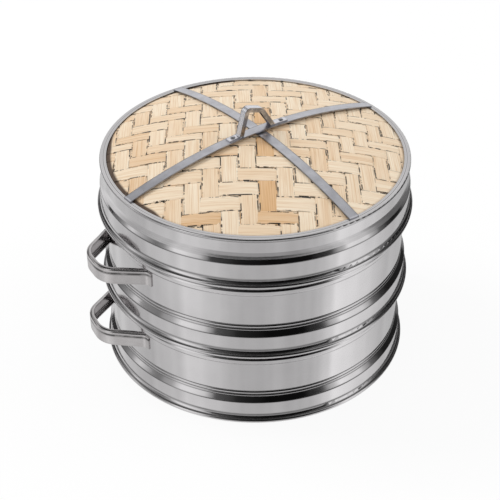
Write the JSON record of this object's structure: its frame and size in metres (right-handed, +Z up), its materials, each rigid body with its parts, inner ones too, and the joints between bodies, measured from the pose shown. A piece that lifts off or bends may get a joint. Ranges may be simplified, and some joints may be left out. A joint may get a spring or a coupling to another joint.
{
  "type": "steamer basket",
  "caption": "Round stacking steamer of steel tiers with strap handles, under a steel-rimmed woven bamboo lid with crossed straps and a carry loop.",
  "frame": {"origin": "middle of the base, on the surface the stack stands on", "axes": "+Z up along the axis of the rings; +X towards the bottom tier's right handle"},
  "size_m": [0.364, 0.3154, 0.2688],
  "materials": {
    "ring_steel": "polished",
    "floor_steel": "satin",
    "wire_steel": "drawn",
    "handle_steel": "satin",
    "strap_steel": "satin",
    "loop_steel": "polished",
    "rivet_steel": "polished",
    "mat_bamboo": "split, bare",
    "lining_bamboo": "split, bare",
    "hoop_bamboo": "bent, bare"
  },
  "bodies": {
    "bottom_tier": {"bottom_tier_wall": "ring_steel", "bottom_tier_foot_wire": "wire_steel", "bottom_tier_floor": "floor_steel", "bottom_tier_handle_right": "handle_steel", "bottom_tier_handle_left": "handle_steel"},
    "upper_tier": {"upper_tier_wall": "ring_steel", "upper_tier_foot_wire": "wire_steel", "upper_tier_floor": "floor_steel", "upper_tier_handle_right": "handle_steel", "upper_tier_handle_left": "handle_steel"},
    "lid": {"lid_ring": "ring_steel", "lid_foot_wire": "wire_steel", "lid_outer_mat": "mat_bamboo", "lid_inner_mat": "lining_bamboo", "lid_hoop": "hoop_bamboo", "lid_cross_strap": "strap_steel", "lid_long_strap": "strap_steel", "lid_loop": "loop_steel", "lid_loop_rivets": "rivet_steel"}
  },
  "joints": [
    {"name": "upper_tier_lift", "type": "slide", "parent": "bottom_tier", "child": "upper_tier", "axis": [0, 0, 1], "range_m": [0, 0.12]},
    {"name": "lid_lift", "type": "slide", "parent": "upper_tier", "child": "lid", "axis": [0, 0, 1], "range_m": [0, 0.12]}
  ]
}
